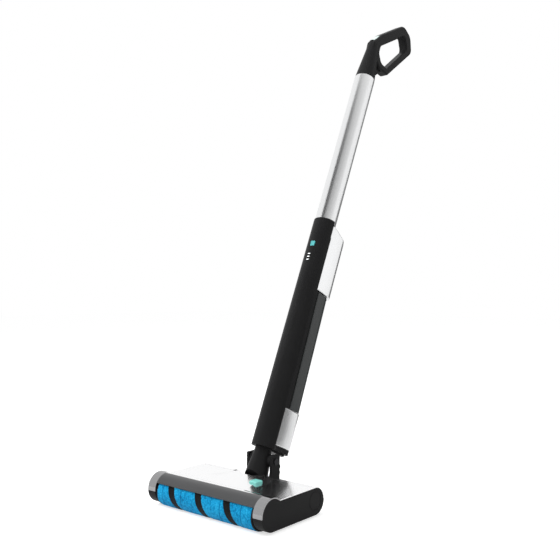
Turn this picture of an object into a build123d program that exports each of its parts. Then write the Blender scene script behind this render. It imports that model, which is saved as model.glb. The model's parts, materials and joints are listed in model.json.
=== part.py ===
"""Cordless wet and dry floor scrubber: a flat roller head with a reclining stick handle.

Millimetres. +X runs along the roller, +Y points to the rear, +Z is up. The origin is on the
floor under the middle of the head. The stick leans back from a hinge at the rear of the head.
"""
from build123d import *
from math import atan2, cos, degrees, hypot, radians, sin
import os

# Head: overall width, the wide end housings and the outline seen from the side (y, z)
HEAD_HALF = 145.0
CAP_WIDTH = 20.5
INNER_HALF = HEAD_HALF - CAP_WIDTH
HUMP_CENTRE = (-57.5, 33.0)
HUMP_R = 29.0
REAR_CENTRE = (64.5, 29.0)
REAR_R = 25.5
TOP_Z = 54.5
BOTTOM_Z = 3.5
SHEET = 1.5
HOOD_WALL = 1.4
TRIM_WALL = 2.0
CAP_WALL = 3.5
LID_FRONT = -38.0
LID_REAR = 58.2
SEAM = 0.4

# Roller: it touches the floor, and it is driven by a motor inside its core
ROLLER_R = 28.8
ROLLER_AXIS = (-57.2, ROLLER_R)
CORE_R = 23.5
CORE_BORE = 20.0
SLEEVE_HALF = 119.0
FLANGE_R = 27.8
FLANGE_T = 3.0
STRIP_COUNT = 2
STRIP_PITCH = 140.0
STRIP_ANGLE = 34.0
STRIP_PHASE = 20.0
STUB_R = 9.0
PIN_R = 5.0
MOTOR_R = 17.0
MOTOR_ENDS = (-100.0, -30.0)
GEARBOX_END = 0.0
DRIVE_SHAFT_R = 4.0
RUN_FIT = 0.05

# Rear wheels
WHEEL_R = 14.0
WHEEL_Y = 70.0
WHEEL_X = 102.0
WHEEL_WIDTH = 14.0
HUB_R = 10.0
AXLE_R = 3.0

# Swivel yoke and the hinge that the stick reclines on
SWIVEL_Y = 72.0
DRUM_R = 24.3
YOKE_FLANGE_R = 28.6
PIT_R = 29.1
PIT_WALL = 2.4
CHEEK_X = (27.0, 33.0)
CHEEK_Y = (73.0, 97.0)
CHEEK_TOP = 93.0
PIVOT = (85.0, 80.0)
HINGE_R = 4.0
NECK_SWEEP_R = 40.5
NOTCH_HALF = 57.0
NOTCH_R = 36.0

# Stick: leans back by LEAN about a line through FOOT_POINT, positions along it are heights
LEAN = 24.37
FOOT_POINT = (0.0, 60.0, 42.8)
SHELL_R = 26.2
SHELL_WALL = 1.6
SHELL_ENDS = (66.0, 577.0)
TUBE_R = 24.6
TUBE_WALL = 1.0
TUBE_ENDS = (571.0, 974.0)
BACK_HALF = 24.7
BACK_DEPTH = 65.5
BACK_CORNER = 20.0
BACK_WALL = 1.8
PLATE_T = 2.0
LOWER_COVER = (76.0, 152.0)
UPPER_COVER = (415.0, 569.0)
TANK_ENDS = (154.5, 412.5)
TANK_FRONT = (20.0, 13.0)
TANK_REAR = (64.2, 57.7)
TANK_HALF = 23.0
TANK_WALL = 2.0
HANDLE_BASE = 974.6

stick_axis = (0.0, sin(radians(LEAN)), cos(radians(LEAN)))
stick_back = (0.0, cos(radians(LEAN)), -sin(radians(LEAN)))
# Plane across the stick: x to the right, y to the rear of the stick, z up along it
STICK = Plane(origin=FOOT_POINT, x_dir=(1, 0, 0), z_dir=stick_axis)
# Plane along the stick, seen from its right side: x to the rear, y up along the stick
SIDE = Plane(origin=FOOT_POINT, x_dir=stick_back, z_dir=(1, 0, 0))

os.makedirs("parts", exist_ok=True)


def write(piece, name):
    """Label a finished piece and write its STEP file."""
    piece.label = name
    export_step(piece, f"parts/{name}.step")


def side_plane(x):
    """Plane seen from the right of the head, at a distance x from its middle."""
    return Plane.YZ.offset(x)


def arc_band(centre, outer, inner, start, end):
    """Part of a ring between two angles."""
    with BuildSketch() as band:
        with BuildLine():
            far = CenterArc(centre, outer, start, end - start)
            near = CenterArc(centre, inner, start, end - start)
            Line(far @ 0, near @ 0)
            Line(far @ 1, near @ 1)
        make_face()
    return band.sketch


def cap_outline(inset=0.0):
    """Side outline of the head: a round hump over the roller and a long rounded tail."""
    tail_front = HUMP_CENTRE[0] + (HUMP_R ** 2 - (TOP_Z - HUMP_CENTRE[1]) ** 2) ** 0.5
    with BuildSketch() as outline:
        with Locations(HUMP_CENTRE):
            Circle(HUMP_R - inset)
        with Locations(REAR_CENTRE):
            Circle(REAR_R - inset)
        with BuildLine():
            Polyline(
                (HUMP_CENTRE[0], HUMP_CENTRE[1] - HUMP_R + inset),
                (REAR_CENTRE[0], BOTTOM_Z + inset),
                (REAR_CENTRE[0], TOP_Z - inset),
                (tail_front - inset, TOP_Z - inset),
                HUMP_CENTRE,
                close=True,
            )
        make_face()
    return outline.sketch


def back_outline(half, front, rear, corner, wall=0.0):
    """Section of the stick's back: straight sides and a generously rounded rear."""
    with BuildSketch() as outline:
        with BuildLine():
            FilletPolyline(
                (half - wall, front),
                (half - wall, rear - wall),
                (-half + wall, rear - wall),
                (-half + wall, front),
                radius=corner - wall,
            )
            Line((-half + wall, front), (half - wall, front))
        make_face()
    return outline.sketch


# Head base: floor plate, curved wall behind the roller, rear wall, swivel pit and axle brackets
COVE_R = 32.0
COVE_WALL = 2.5
COVE_ANGLES = (-48.0, 30.0)
FLOOR_T = 3.0
FLOOR_FRONT = -33.0
POCKET_HALF = 8.5
BRACKET_T = 5.0
BRACKET_HALF = 8.0
BRACKET_TOP = 22.0

with BuildPart() as base_chassis:
    with BuildSketch(side_plane(-INNER_HALF)):
        with Locations(((FLOOR_FRONT + REAR_CENTRE[0]) / 2, BOTTOM_Z + FLOOR_T / 2)):
            Rectangle(REAR_CENTRE[0] - FLOOR_FRONT, FLOOR_T)
        add(arc_band(ROLLER_AXIS, COVE_R + COVE_WALL, COVE_R, *COVE_ANGLES))
        add(arc_band(REAR_CENTRE, REAR_R, REAR_R - COVE_WALL, -90, 0))
    extrude(amount=2 * INNER_HALF)
    with BuildSketch(Plane.XY.offset(BOTTOM_Z)):
        with Locations((0, SWIVEL_Y)):
            Circle(PIT_R + PIT_WALL)
    extrude(amount=18.5)
    with BuildSketch(Plane.XY.offset(BOTTOM_Z + FLOOR_T)):
        with Locations((0, SWIVEL_Y)):
            Circle(PIT_R)
    extrude(amount=40, mode=Mode.SUBTRACT)
    for wheel_x in (-WHEEL_X, WHEEL_X):
        for edge in (-1, 1):
            with BuildSketch(side_plane(wheel_x + edge * (POCKET_HALF + BRACKET_T / 2) - BRACKET_T / 2)):
                with Locations((WHEEL_Y, (BRACKET_TOP + BOTTOM_Z) / 2)):
                    RectangleRounded(2 * BRACKET_HALF, BRACKET_TOP - BOTTOM_Z, 3)
            extrude(amount=BRACKET_T)
        with BuildSketch(side_plane(wheel_x - POCKET_HALF)):
            with Locations((WHEEL_Y + 2, WHEEL_R)):
                Rectangle(2 * WHEEL_R + 10, 2 * WHEEL_R + 6)
        extrude(amount=2 * POCKET_HALF, mode=Mode.SUBTRACT)
        with BuildSketch(side_plane(wheel_x - POCKET_HALF - BRACKET_T)):
            with Locations((WHEEL_Y, WHEEL_R)):
                Circle(AXLE_R)
        extrude(amount=2 * (POCKET_HALF + BRACKET_T), mode=Mode.SUBTRACT)
write(base_chassis.part, "base_chassis")


# End housings: hollow caps with the head's side outline, grooved for trims and covers
def make_end_cap(hub_x, hub_outer, hub_bore):
    """Right-hand end housing, with the seat for one end of the roller."""
    with BuildPart() as cap:
        with BuildSketch(side_plane(INNER_HALF)):
            add(cap_outline())
        extrude(amount=CAP_WIDTH)
        with BuildSketch(side_plane(INNER_HALF)):
            add(cap_outline(CAP_WALL))
        extrude(amount=CAP_WIDTH - CAP_WALL, mode=Mode.SUBTRACT)
        with BuildSketch(side_plane(hub_x)):
            with Locations(ROLLER_AXIS):
                Circle(hub_outer)
        extrude(amount=HEAD_HALF - hub_x)
        with BuildSketch(side_plane(hub_x)):
            with Locations(ROLLER_AXIS):
                Circle(hub_bore)
        extrude(amount=HEAD_HALF - hub_x - CAP_WALL, mode=Mode.SUBTRACT)
        # Seats of the bright corner trim, of the lid and of the rear cover
        with BuildSketch(side_plane(INNER_HALF)):
            add(arc_band(HUMP_CENTRE, HUMP_R + 1, HUMP_R - TRIM_WALL, *TRIM_ANGLES))
        extrude(amount=CAP_WIDTH, mode=Mode.SUBTRACT)
        with BuildSketch(side_plane(INNER_HALF)):
            with Locations(((LID_FRONT + REAR_CENTRE[0]) / 2, TOP_Z - SHEET / 2)):
                Rectangle(REAR_CENTRE[0] - LID_FRONT, SHEET + 0.1)
            add(arc_band(REAR_CENTRE, REAR_R + 1, REAR_R - SHEET, 0, 90))
        extrude(amount=CAP_WIDTH, mode=Mode.SUBTRACT)
        # Round hub cover at the tail, marked by a fine ring groove
        with BuildSketch(side_plane(HEAD_HALF - RING_DEPTH)):
            with Locations(RING_CENTRE):
                Circle(RING_R + RING_WIDTH / 2)
                Circle(RING_R - RING_WIDTH / 2, mode=Mode.SUBTRACT)
        extrude(amount=RING_DEPTH, mode=Mode.SUBTRACT)
    return cap.part


TRIM_ANGLES = (48.5, 184.0)
RING_CENTRE = (63.0, 30.0)
RING_R = 17.0
RING_WIDTH = 0.9
RING_DEPTH = 0.7
BUSH_R = 8.5

end_cap_right = make_end_cap(INNER_HALF, BUSH_R + 3.5, BUSH_R)
write(end_cap_right, "end_cap_right")
end_cap_left = mirror(make_end_cap(INNER_HALF, STUB_R + 4.0, STUB_R), about=Plane.YZ)
write(end_cap_left, "end_cap_left")

# Bright corner trims over the front of the end housings
with BuildPart() as corner_trim_right:
    with BuildSketch(side_plane(INNER_HALF)):
        add(arc_band(HUMP_CENTRE, HUMP_R, HUMP_R - TRIM_WALL, *TRIM_ANGLES))
    extrude(amount=CAP_WIDTH)
write(corner_trim_right.part, "corner_trim_right")
write(mirror(corner_trim_right.part, about=Plane.YZ), "corner_trim_left")

# Roller hood: a bright rail over the hump and a satin visor in front of it
RAIL_ANGLES = (48.5, 94.0)
VISOR_ANGLES = (94.5, 151.0)

with BuildPart() as hood_rail:
    with BuildSketch(side_plane(-INNER_HALF)):
        add(arc_band(HUMP_CENTRE, HUMP_R, HUMP_R - HOOD_WALL, *RAIL_ANGLES))
    extrude(amount=2 * INNER_HALF)
write(hood_rail.part, "hood_rail")

with BuildPart() as roller_visor:
    with BuildSketch(side_plane(-INNER_HALF)):
        add(arc_band(HUMP_CENTRE, HUMP_R, HUMP_R - HOOD_WALL, *VISOR_ANGLES))
    extrude(amount=2 * INNER_HALF)
write(roller_visor.part, "roller_visor")

# Water bar above the roller and the wiper that presses dirty water out of it
SPRAY_BAR = (-29.0, 50.0)
SPRAY_R = 2.5
SPRAY_BORE = 1.5
WIPER_ANGLES = (8.0, 14.0)
WIPER_HALF = 120.0
WIPER_TIP_R = 29.2

with BuildPart() as spray_bar:
    with BuildSketch(side_plane(-INNER_HALF)):
        with Locations(SPRAY_BAR):
            Circle(SPRAY_R)
            Circle(SPRAY_BORE, mode=Mode.SUBTRACT)
    extrude(amount=2 * INNER_HALF)
write(spray_bar.part, "spray_bar")

with BuildPart() as wiper_blade:
    with BuildSketch(side_plane(-WIPER_HALF)):
        add(arc_band(ROLLER_AXIS, COVE_R, WIPER_TIP_R, *WIPER_ANGLES))
    extrude(amount=2 * WIPER_HALF)
write(wiper_blade.part, "wiper_blade")

# Rear covers, one on each side of the notch that the stick swings in
with BuildPart() as rear_cover_right:
    with BuildSketch(side_plane(NOTCH_HALF)):
        add(arc_band(REAR_CENTRE, REAR_R, REAR_R - SHEET, 0, 90))
        with Locations(((LID_REAR + SEAM + REAR_CENTRE[0]) / 2, TOP_Z - SHEET / 2)):
            Rectangle(REAR_CENTRE[0] - LID_REAR - SEAM, SHEET)
    extrude(amount=HEAD_HALF - NOTCH_HALF)
write(rear_cover_right.part, "rear_cover_right")
write(mirror(rear_cover_right.part, about=Plane.YZ), "rear_cover_left")

# Dirty water cassette: lid with its raised bonnet, seal, tank and a release button
BONNET_FRONT = -33.0
BONNET_REAR = 56.0
BONNET_FRONT_HALF = (83.0, 62.0)
BONNET_REAR_HALF = (52.0, 28.0)
BONNET_RISE = (0.5, 7.0)
BUTTON_CENTRE = (47.0, 10.0)
BUTTON_SIZE = 19.0
BUTTON_TOP = 61.5
BUTTON_FLANGE = (24.0, 49.4, 51.6)
BUTTON_FLOOR = 44.0
TANK_HALF_X = 112.0
TANK_Y = (-16.0, 33.0)
DIRTY_TANK_Z = (8.0, 51.5)
CLEAR = 0.4

with BuildPart() as tank_lid:
    with BuildSketch(Plane.XY.offset(TOP_Z - SHEET)):
        with Locations((0, (LID_FRONT + LID_REAR) / 2)):
            Rectangle(2 * HEAD_HALF, LID_REAR - LID_FRONT)
    extrude(amount=SHEET)
    # Bonnet: a low wedge that rises towards the neck and narrows to the rear
    with BuildSketch(Plane.XZ.offset(-BONNET_FRONT)):
        with BuildLine():
            Polyline(
                (-BONNET_FRONT_HALF[0], TOP_Z - 1),
                (-BONNET_FRONT_HALF[0], TOP_Z),
                (-BONNET_FRONT_HALF[1], TOP_Z + BONNET_RISE[0]),
                (BONNET_FRONT_HALF[1], TOP_Z + BONNET_RISE[0]),
                (BONNET_FRONT_HALF[0], TOP_Z),
                (BONNET_FRONT_HALF[0], TOP_Z - 1),
                close=True,
            )
        make_face()
    with BuildSketch(Plane.XZ.offset(-BONNET_REAR)):
        with BuildLine():
            Polyline(
                (-BONNET_REAR_HALF[0], TOP_Z - 1),
                (-BONNET_REAR_HALF[0], TOP_Z),
                (-BONNET_REAR_HALF[1], TOP_Z + BONNET_RISE[1]),
                (BONNET_REAR_HALF[1], TOP_Z + BONNET_RISE[1]),
                (BONNET_REAR_HALF[0], TOP_Z),
                (BONNET_REAR_HALF[0], TOP_Z - 1),
                close=True,
            )
        make_face()
    loft(ruled=True)
    with BuildSketch(Plane.XY.offset(TOP_Z - 10)):
        with Locations((0, SWIVEL_Y)):
            Circle(NOTCH_R)
        with Locations(BUTTON_CENTRE):
            RectangleRounded(BUTTON_SIZE + 2 * CLEAR, BUTTON_SIZE + 2 * CLEAR, 3)
    extrude(amount=30, mode=Mode.SUBTRACT)
write(tank_lid.part, "tank_lid")

with BuildPart() as dirty_tank:
    with BuildSketch(Plane.XY.offset(DIRTY_TANK_Z[0])):
        with Locations((0, sum(TANK_Y) / 2)):
            RectangleRounded(2 * TANK_HALF_X, TANK_Y[1] - TANK_Y[0], 8)
    extrude(amount=DIRTY_TANK_Z[1] - DIRTY_TANK_Z[0])
    fillet(dirty_tank.faces().sort_by(Axis.Z)[0].edges(), radius=4)
    with BuildSketch(Plane.XY.offset(BUTTON_FLOOR)):
        with Locations(BUTTON_CENTRE):
            Rectangle(BUTTON_FLANGE[0] + 2, BUTTON_FLANGE[0] + 2)
    extrude(amount=20, mode=Mode.SUBTRACT)
write(dirty_tank.part, "dirty_tank")

with BuildPart() as lid_seal:
    with BuildSketch(Plane.XY.offset(DIRTY_TANK_Z[1])):
        with Locations((0, sum(TANK_Y) / 2)):
            RectangleRounded(2 * TANK_HALF_X, TANK_Y[1] - TANK_Y[0], 8)
            RectangleRounded(2 * TANK_HALF_X - 7, TANK_Y[1] - TANK_Y[0] - 7, 5, mode=Mode.SUBTRACT)
    extrude(amount=TOP_Z - SHEET - DIRTY_TANK_Z[1])
write(lid_seal.part, "lid_seal")

with BuildPart() as release_button:
    with BuildSketch(Plane.XY.offset(BUTTON_FLANGE[1])):
        with Locations(BUTTON_CENTRE):
            RectangleRounded(BUTTON_FLANGE[0], BUTTON_FLANGE[0], 2)
    extrude(amount=BUTTON_FLANGE[2] - BUTTON_FLANGE[1])
    with BuildSketch(Plane.XY.offset(BUTTON_FLANGE[2])):
        with Locations(BUTTON_CENTRE):
            RectangleRounded(BUTTON_SIZE, BUTTON_SIZE, 3)
    extrude(amount=BUTTON_TOP - BUTTON_FLANGE[2])
    fillet(release_button.faces().sort_by(Axis.Z)[-1].edges(), radius=2)
write(release_button.part, "release_button")


def coil_spring(plane, turns, length, coil_r, wire_r):
    """Small compression spring on a plane, standing along its normal."""
    path = Wire(Edge.make_helix(length / turns, length, coil_r))
    with BuildPart() as coil:
        with BuildSketch(Plane(origin=path @ 0, z_dir=path % 0)):
            Circle(wire_r)
        sweep(path=path, transition=Transition.RIGHT)
    return plane.location * coil.part


with BuildPart() as release_spring:
    add(coil_spring(Plane(origin=(*BUTTON_CENTRE, BUTTON_FLOOR + 0.7)), 3, 4.0, 4.0, 0.5))
write(release_spring.part, "release_spring")

# Roller: metal core, microfibre sleeve with two helical bristle strips, end flanges and drive
TWIST = 360.0 * 2 * SLEEVE_HALF / STRIP_PITCH


def helical_bands(start_angles, sweep_angle, outer, inner):
    """Bands that wind along the roller, as twisted sectors of a ring."""
    bands = []
    for start in start_angles:
        section = side_plane(-SLEEVE_HALF) * arc_band((0, 0), outer, inner, start, start + sweep_angle)
        section = Pos(0, *ROLLER_AXIS) * section
        bands.append(
            Solid.extrude_linear_with_rotation(
                section.face(),
                center=(-SLEEVE_HALF, *ROLLER_AXIS),
                normal=(2 * SLEEVE_HALF, 0, 0),
                angle=TWIST,
            )
        )
    return bands


strip_starts = [STRIP_PHASE + 360.0 * i / STRIP_COUNT for i in range(STRIP_COUNT)]
pile_starts = [start + STRIP_ANGLE for start in strip_starts]
pile_angle = 360.0 / STRIP_COUNT - STRIP_ANGLE

roller_sleeve = Compound(children=helical_bands(pile_starts, pile_angle, ROLLER_R, CORE_R))
write(roller_sleeve, "roller_sleeve")
bristle_strips = Compound(children=helical_bands(strip_starts, STRIP_ANGLE, ROLLER_R - 0.6, CORE_R))
write(bristle_strips, "bristle_strips")

with BuildPart() as roller_core:
    with BuildSketch(side_plane(-SLEEVE_HALF)):
        with Locations(ROLLER_AXIS):
            Circle(CORE_R)
            Circle(CORE_BORE, mode=Mode.SUBTRACT)
    extrude(amount=2 * SLEEVE_HALF)
write(roller_core.part, "roller_core")

SPIGOT = 7.0
with BuildPart() as roller_flange_left:
    with BuildSketch(side_plane(-SLEEVE_HALF - FLANGE_T)):
        with Locations(ROLLER_AXIS):
            Circle(FLANGE_R)
    extrude(amount=FLANGE_T)
    with BuildSketch(side_plane(-SLEEVE_HALF)):
        with Locations(ROLLER_AXIS):
            Circle(CORE_BORE)
    extrude(amount=SPIGOT)
    with BuildSketch(side_plane(-SLEEVE_HALF - FLANGE_T)):
        with Locations(ROLLER_AXIS):
            Circle(STUB_R + RUN_FIT)
    extrude(amount=FLANGE_T + SPIGOT, mode=Mode.SUBTRACT)
write(roller_flange_left.part, "roller_flange_left")

with BuildPart() as roller_flange_right:
    with BuildSketch(side_plane(SLEEVE_HALF)):
        with Locations(ROLLER_AXIS):
            Circle(FLANGE_R)
    extrude(amount=FLANGE_T)
    with BuildSketch(side_plane(SLEEVE_HALF - SPIGOT)):
        with Locations(ROLLER_AXIS):
            Circle(CORE_BORE)
    extrude(amount=SPIGOT)
    with BuildSketch(side_plane(SLEEVE_HALF)):
        with Locations(ROLLER_AXIS):
            Circle(PIN_R)
    extrude(amount=HEAD_HALF - CAP_WALL - SLEEVE_HALF - 1)
write(roller_flange_right.part, "roller_flange_right")

DOG_X = (12.0, 22.0)
with BuildPart() as drive_dog:
    with BuildSketch(side_plane(DOG_X[0])):
        with Locations(ROLLER_AXIS):
            Circle(CORE_BORE)
            Circle(DRIVE_SHAFT_R, mode=Mode.SUBTRACT)
            with PolarLocations(12.5, 6):
                Circle(3.2, mode=Mode.SUBTRACT)
    extrude(amount=DOG_X[1] - DOG_X[0])
write(drive_dog.part, "drive_dog")

with BuildPart() as drive_shaft:
    with BuildSketch(side_plane(GEARBOX_END + CLEAR)):
        with Locations(ROLLER_AXIS):
            Circle(DRIVE_SHAFT_R)
    extrude(amount=DOG_X[1] - GEARBOX_END - CLEAR)
write(drive_shaft.part, "drive_shaft")

with BuildPart() as drive_motor:
    with BuildSketch(side_plane(MOTOR_ENDS[0])):
        with Locations(ROLLER_AXIS):
            Circle(MOTOR_R)
    extrude(amount=MOTOR_ENDS[1] - MOTOR_ENDS[0])
    chamfer(drive_motor.edges().filter_by(GeomType.CIRCLE), length=1.5)
write(drive_motor.part, "drive_motor")

with BuildPart() as reduction_gearbox:
    with BuildSketch(side_plane(MOTOR_ENDS[1])):
        with Locations(ROLLER_AXIS):
            Circle(MOTOR_R - 1)
    extrude(amount=GEARBOX_END - MOTOR_ENDS[1])
    chamfer(reduction_gearbox.edges().filter_by(GeomType.CIRCLE).sort_by(Axis.X)[-1], length=2)
write(reduction_gearbox.part, "reduction_gearbox")

with BuildPart() as motor_stub:
    with BuildSketch(side_plane(-HEAD_HALF + CAP_WALL)):
        with Locations(ROLLER_AXIS):
            Circle(STUB_R)
            Circle(STUB_R - 4, mode=Mode.SUBTRACT)
    extrude(amount=MOTOR_ENDS[0] + HEAD_HALF - CAP_WALL)
write(motor_stub.part, "motor_stub")

with BuildPart() as roller_bush:
    with BuildSketch(side_plane(INNER_HALF)):
        with Locations(ROLLER_AXIS):
            Circle(BUSH_R)
            Circle(PIN_R + RUN_FIT, mode=Mode.SUBTRACT)
    extrude(amount=CAP_WIDTH - CAP_WALL)
write(roller_bush.part, "roller_bush")


# Rear wheels: moulded hub, soft tyre and a steel axle pin each
def make_wheel(x):
    """Hub, tyre and axle of the wheel centred at x."""
    with BuildPart() as hub:
        with BuildSketch(side_plane(x - WHEEL_WIDTH / 2)):
            with Locations((WHEEL_Y, WHEEL_R)):
                Circle(HUB_R)
                Circle(AXLE_R + RUN_FIT, mode=Mode.SUBTRACT)
        extrude(amount=WHEEL_WIDTH)
    with BuildPart() as tyre:
        with BuildSketch(side_plane(x - WHEEL_WIDTH / 2)):
            with Locations((WHEEL_Y, WHEEL_R)):
                Circle(WHEEL_R)
                Circle(HUB_R, mode=Mode.SUBTRACT)
        extrude(amount=WHEEL_WIDTH)
        chamfer(tyre.edges().filter_by(lambda e: e.geom_type == GeomType.CIRCLE and e.radius > HUB_R + 1), 1.5)
    with BuildPart() as axle:
        with BuildSketch(side_plane(x - POCKET_HALF - BRACKET_T)):
            with Locations((WHEEL_Y, WHEEL_R)):
                Circle(AXLE_R)
        extrude(amount=2 * (POCKET_HALF + BRACKET_T))
    return hub.part, tyre.part, axle.part


for side_name, wheel_x in (("left", -WHEEL_X), ("right", WHEEL_X)):
    hub_part, tyre_part, axle_part = make_wheel(wheel_x)
    write(hub_part, f"wheel_hub_{side_name}")
    write(tyre_part, f"wheel_tyre_{side_name}")
    write(axle_part, f"wheel_axle_{side_name}")

# Swivel yoke: a drum in the head's pit and two upright cheeks for the hinge pin
YOKE_FLANGE_Z = (6.9, 10.3)
RING_Z = (10.7, 22.0)
YOKE_PLATE_Z = (30.4, 35.0)
YOKE_PLATE_Y = (56.0, 97.0)
CHEEK_RIBS = ((94.5, 68.7), (93.5, 57.5))
CHEEK_RIB_R = 4.5

with BuildPart() as hinge_yoke:
    with BuildSketch(Plane.XY.offset(YOKE_FLANGE_Z[0])):
        with Locations((0, SWIVEL_Y)):
            Circle(YOKE_FLANGE_R)
    extrude(amount=YOKE_FLANGE_Z[1] - YOKE_FLANGE_Z[0])
    with BuildSketch(Plane.XY.offset(YOKE_FLANGE_Z[1])):
        with Locations((0, SWIVEL_Y)):
            Circle(DRUM_R)
    extrude(amount=YOKE_PLATE_Z[0] - YOKE_FLANGE_Z[1])
    with BuildSketch(Plane.XY.offset(YOKE_PLATE_Z[0])):
        with Locations((0, sum(YOKE_PLATE_Y) / 2)):
            RectangleRounded(2 * CHEEK_X[1], YOKE_PLATE_Y[1] - YOKE_PLATE_Y[0], 6)
    extrude(amount=YOKE_PLATE_Z[1] - YOKE_PLATE_Z[0])
    for cheek_start in (CHEEK_X[0], -CHEEK_X[1]):
        with BuildSketch(side_plane(cheek_start)):
            with BuildLine():
                FilletPolyline(
                    (CHEEK_Y[0] - 12, YOKE_PLATE_Z[0] + 2),
                    (CHEEK_Y[0], 60),
                    (CHEEK_Y[0], CHEEK_TOP),
                    (CHEEK_Y[1], CHEEK_TOP),
                    (CHEEK_Y[1] - 1, YOKE_PLATE_Z[0] + 2),
                    radius=3,
                    close=True,
                )
            make_face()
            with Locations(*CHEEK_RIBS):
                Circle(CHEEK_RIB_R)
        extrude(amount=CHEEK_X[1] - CHEEK_X[0])
        with BuildSketch(side_plane(cheek_start)):
            with Locations(PIVOT):
                Circle(HINGE_R)
        extrude(amount=CHEEK_X[1] - CHEEK_X[0], mode=Mode.SUBTRACT)
write(hinge_yoke.part, "hinge_yoke")

with BuildPart() as swivel_ring:
    with BuildSketch(Plane.XY.offset(RING_Z[0])):
        with Locations((0, SWIVEL_Y)):
            Circle(PIT_R)
            Circle(DRUM_R + CLEAR, mode=Mode.SUBTRACT)
    extrude(amount=RING_Z[1] - RING_Z[0])
write(swivel_ring.part, "swivel_ring")

PIN_HEAD = (6.5, 2.0)
with BuildPart() as hinge_pin:
    with BuildSketch(side_plane(-CHEEK_X[1])):
        with Locations(PIVOT):
            Circle(HINGE_R)
    extrude(amount=2 * CHEEK_X[1])
    for head_start in (CHEEK_X[1], -CHEEK_X[1] - PIN_HEAD[1]):
        with BuildSketch(side_plane(head_start)):
            with Locations(PIVOT):
                Circle(PIN_HEAD[0])
        extrude(amount=PIN_HEAD[1])
write(hinge_pin.part, "hinge_pin")

# Neck: a cone that flares towards the head, rounded about the hinge pin, with side bosses
NECK_ENDS = (2.0, 75.0)
NECK_TOP_R = 17.0
NECK_FLARE = 0.1217
NECK_FLARE_TOP = 62.0
NECK_BOSS_R = 12.0
NECK_BOSS_HALF = 26.6

with BuildPart() as neck:
    with BuildSketch(STICK.offset(NECK_ENDS[0])):
        Circle(NECK_TOP_R + NECK_FLARE * (NECK_FLARE_TOP - NECK_ENDS[0]))
    with BuildSketch(STICK.offset(NECK_FLARE_TOP)):
        Circle(NECK_TOP_R)
    loft()
    with BuildSketch(STICK.offset(NECK_FLARE_TOP)):
        Circle(NECK_TOP_R)
    extrude(amount=NECK_ENDS[1] - NECK_FLARE_TOP)
    with BuildSketch(side_plane(-NECK_BOSS_HALF)):
        with Locations(PIVOT):
            Circle(NECK_BOSS_R)
    extrude(amount=2 * NECK_BOSS_HALF)
    with BuildSketch(side_plane(-NECK_BOSS_HALF)):
        with Locations(PIVOT):
            Circle(NECK_SWEEP_R)
    extrude(amount=2 * NECK_BOSS_HALF, mode=Mode.INTERSECT)
    with BuildSketch(side_plane(-NECK_BOSS_HALF)):
        with Locations(PIVOT):
            Circle(HINGE_R + RUN_FIT)
    extrude(amount=2 * NECK_BOSS_HALF, mode=Mode.SUBTRACT)
write(neck.part, "neck")

# Foot plate: closes the column's lower end and carries the neck
FOOT_Z = (62.0, 66.0, 75.8)
FOOT_INSET = 9.0


def column_section(inset=0.0):
    """Whole section of the column: round front and deep rounded back."""
    with BuildSketch() as section:
        Circle(SHELL_R - inset)
        add(back_outline(BACK_HALF, -1.0, BACK_DEPTH, BACK_CORNER, inset))
    return section.sketch


with BuildPart() as foot_plate:
    with BuildSketch(STICK.offset(FOOT_Z[0])):
        add(column_section(FOOT_INSET))
    extrude(amount=FOOT_Z[1] - FOOT_Z[0])
    with BuildSketch(STICK.offset(FOOT_Z[1])):
        add(column_section(SHELL_WALL))
    extrude(amount=FOOT_Z[2] - FOOT_Z[1])
    with BuildSketch(STICK.offset(FOOT_Z[0])):
        Circle(NECK_TOP_R)
    extrude(amount=NECK_ENDS[1] - FOOT_Z[0], mode=Mode.SUBTRACT)
write(foot_plate.part, "foot_plate")

# Column: round front shell and the flat spine that closes it and carries the back
POWER_X = 2.0
POWER_HEIGHT = 512.0
POWER_SIZE = (11.0, 11.5)
LED_HEIGHTS = (487.0, 480.0, 473.0)
LED_SIZE = (6.0, 2.2)
LED_X = 0.0
SPINE_ENDS = (75.8, 538.0)
SPINE_WALL_X = 21.8
SPINE_WALL_T = 2.0
SPINE_DEPTH = 11.0
PLUG_LOW_R = 22.4
FRONT_PLANE = Plane(origin=FOOT_POINT, x_dir=(1, 0, 0), z_dir=tuple(-v for v in stick_back))

with BuildPart() as column_shell:
    with BuildSketch(STICK.offset(SHELL_ENDS[0])):
        Circle(SHELL_R)
        Circle(SHELL_R - SHELL_WALL, mode=Mode.SUBTRACT)
        with Locations((0, SHELL_R)):
            Rectangle(4 * SHELL_R, 2 * SHELL_R, mode=Mode.SUBTRACT)
    extrude(amount=SHELL_ENDS[1] - SHELL_ENDS[0])
    with BuildSketch(FRONT_PLANE.offset(SHELL_R - 8)):
        with Locations((POWER_X, POWER_HEIGHT)):
            RectangleRounded(POWER_SIZE[0] + 2 * CLEAR, POWER_SIZE[1] + 2 * CLEAR, 2)
        with Locations(*[(LED_X, height) for height in LED_HEIGHTS]):
            RectangleRounded(*LED_SIZE, 0.6)
    extrude(amount=20, mode=Mode.SUBTRACT)
write(column_shell.part, "column_shell")

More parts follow.
